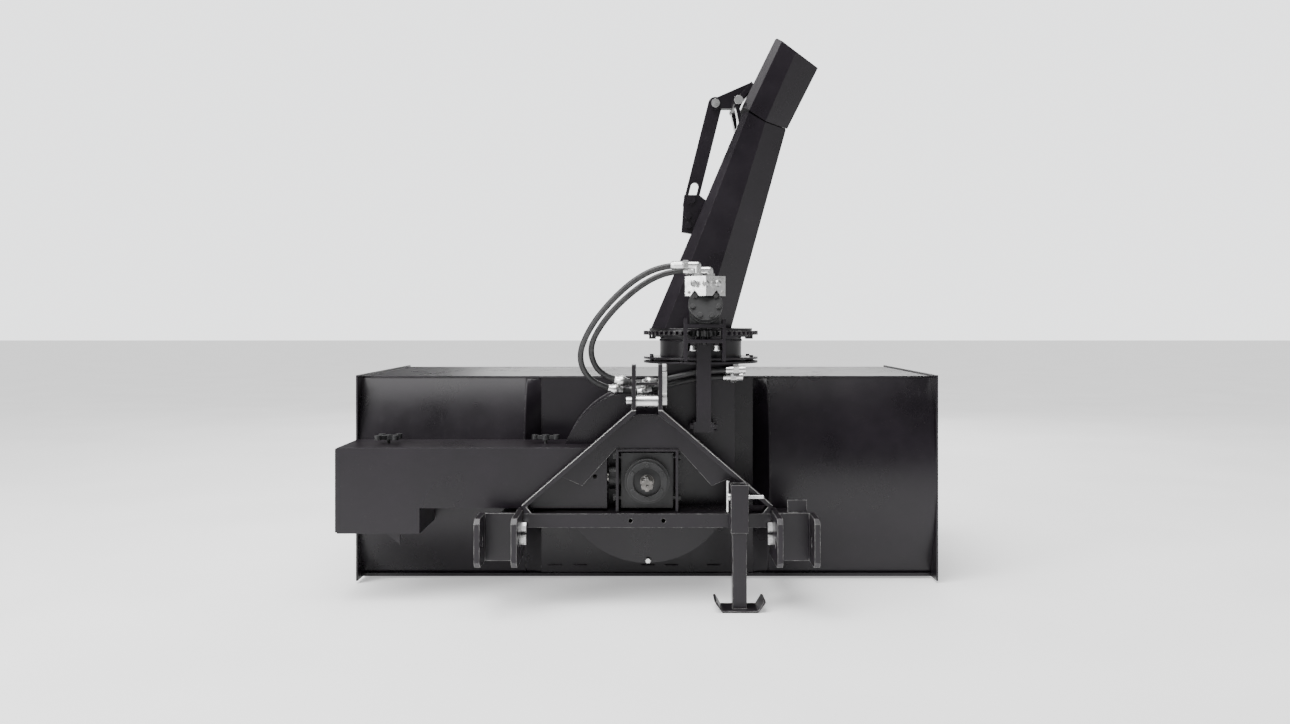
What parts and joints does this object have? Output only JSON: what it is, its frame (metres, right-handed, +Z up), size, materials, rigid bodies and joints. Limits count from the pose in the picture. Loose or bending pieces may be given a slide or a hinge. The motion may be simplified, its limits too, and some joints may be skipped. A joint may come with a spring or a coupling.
{
  "type": "three-point-hitch snow blower",
  "caption": "Rear-mounted tractor snow blower with auger housing, fan drum, slewing discharge chute with tilting deflector, hitch frame and parking jack.",
  "frame": {"origin": "on the ground under the middle of the cutting edge, on the power take-off shaft's centre plane", "axes": "+X to the right as seen from the tractor seat looking back, +Y away from the tractor towards the open auger side, +Z up"},
  "size_m": [1.86, 1.27, 1.663],
  "materials": {
    "powder_coat": "semi-gloss black powder coat",
    "wear_steel": "black painted wear steel, rubbed at the edge",
    "drive_steel": "machined steel",
    "zinc": "bright zinc plate",
    "cast_black": "black painted casting",
    "hose_rubber": "matt ribbed hose cover",
    "knob_plastic": "moulded black knob"
  },
  "bodies": {
    "frame": {"left_end_plate": "powder_coat", "right_end_plate": "powder_coat", "left_wing_panel": "powder_coat", "right_wing_panel": "powder_coat", "centre_back_plate": "powder_coat", "top_plate": "powder_coat", "floor_plate": "powder_coat", "cutting_edge": "wear_steel", "housing_bolts": "zinc", "skid_shoes": "wear_steel", "fan_drum": "powder_coat", "fan_drum_cover": "powder_coat", "gearbox_housing": "cast_black", "gearbox_mount": "powder_coat", "gearbox_bolts": "zinc", "drive_chain": "drive_steel", "flange_bearings": "cast_black", "jackshaft_cover": "powder_coat", "chain_guard": "powder_coat", "lower_cross_member": "powder_coat", "left_lower_clevis": "powder_coat", "right_lower_clevis": "powder_coat", "clevis_bolts": "zinc", "mast_legs": "powder_coat", "mast_ears": "powder_coat", "mast_web_plate": "powder_coat", "pin_spacer": "zinc", "jack_sleeve": "powder_coat", "drive_post": "powder_coat", "motor_bracket": "powder_coat", "chute_motor": "cast_black", "valve_block": "zinc", "hose_fittings": "zinc", "chute_neck": "powder_coat", "hose_holder": "zinc", "inlet_hose": "hose_rubber", "outlet_hose": "hose_rubber", "hose_couplers": "zinc"},
    "input_drive": {"input_shaft": "drive_steel", "fan_impeller": "powder_coat", "input_bevel_gear": "drive_steel"},
    "jackshaft_drive": {"jackshaft": "drive_steel", "jackshaft_bevel_gear": "drive_steel", "drive_sprocket": "drive_steel"},
    "auger": {"auger_shaft": "powder_coat", "auger_flighting": "powder_coat", "auger_sprocket": "drive_steel"},
    "left_knob": {"left_cover_knob": "knob_plastic"},
    "right_knob": {"right_cover_knob": "knob_plastic"},
    "top_pin": {"top_link_pin": "zinc"},
    "jack": {"jack_leg": "powder_coat"},
    "lock_pin": {"jack_lock_pin": "zinc"},
    "chute": {"chute_gear_ring": "powder_coat", "chute_body": "powder_coat", "deflector_bracket": "powder_coat", "deflector_hinge_pin": "zinc"},
    "pinion": {"chute_pinion": "cast_black"},
    "deflector_hood": {"deflector": "powder_coat", "link_upper_pin": "zinc"},
    "link": {"deflector_link": "powder_coat"}
  },
  "joints": [
    {"name": "input_shaft_turn", "type": "hinge", "parent": "frame", "child": "input_drive", "pos_m": [0, -0.9, 0.355], "axis": [0, 1, 0], "continuous": true},
    {"name": "jackshaft_turn", "type": "hinge", "parent": "frame", "child": "jackshaft_drive", "pos_m": [-0.4, -0.9, 0.355], "axis": [1, 0, 0], "continuous": true},
    {"name": "auger_turn", "type": "hinge", "parent": "frame", "child": "auger", "pos_m": [0, -0.39, 0.3], "axis": [1, 0, 0], "continuous": true},
    {"name": "left_knob_turn", "type": "hinge", "parent": "frame", "child": "left_knob", "pos_m": [-0.778, -0.83, 0.449], "axis": [0, 0, 1], "continuous": true},
    {"name": "right_knob_turn", "type": "hinge", "parent": "frame", "child": "right_knob", "pos_m": [-0.305, -0.83, 0.449], "axis": [0, 0, 1], "continuous": true},
    {"name": "top_pin_slide", "type": "slide", "parent": "frame", "child": "top_pin", "axis": [1, 0, 0], "range_m": [0, 0.105]},
    {"name": "jack_slide", "type": "slide", "parent": "frame", "child": "jack", "axis": [0, 0, 1], "range_m": [0, 0.15]},
    {"name": "lock_pin_slide", "type": "slide", "parent": "frame", "child": "lock_pin", "axis": [-1, 0, 0], "range_m": [0, 0.095]},
    {"name": "chute_turn", "type": "hinge", "parent": "frame", "child": "chute", "pos_m": [0.165, -0.75, 0.787], "axis": [0, 0, 1], "range_deg": [-110, 110]},
    {"name": "pinion_turn", "type": "hinge", "parent": "frame", "child": "pinion", "pos_m": [0.165, -0.9574, 0.781], "axis": [0, 0, 1], "range_deg": [-530, 530]},
    {"name": "deflector_tilt", "type": "hinge", "parent": "chute", "child": "deflector_hood", "pos_m": [0.273, -0.75, 1.477], "axis": [0, 1, 0], "range_deg": [-40, 0]},
    {"name": "link_swing", "type": "hinge", "parent": "deflector_hood", "child": "link", "pos_m": [0.21, -0.75, 1.485], "axis": [0, 1, 0], "range_deg": [0, 45]}
  ],
  "couplings": [
    {"joint": "jackshaft_turn", "follows": "input_shaft_turn", "ratio": -1},
    {"joint": "auger_turn", "follows": "input_shaft_turn", "ratio": -0.5},
    {"joint": "pinion_turn", "follows": "chute_turn", "ratio": -4.75},
    {"joint": "link_swing", "follows": "deflector_tilt", "ratio": -1.09}
  ]
}
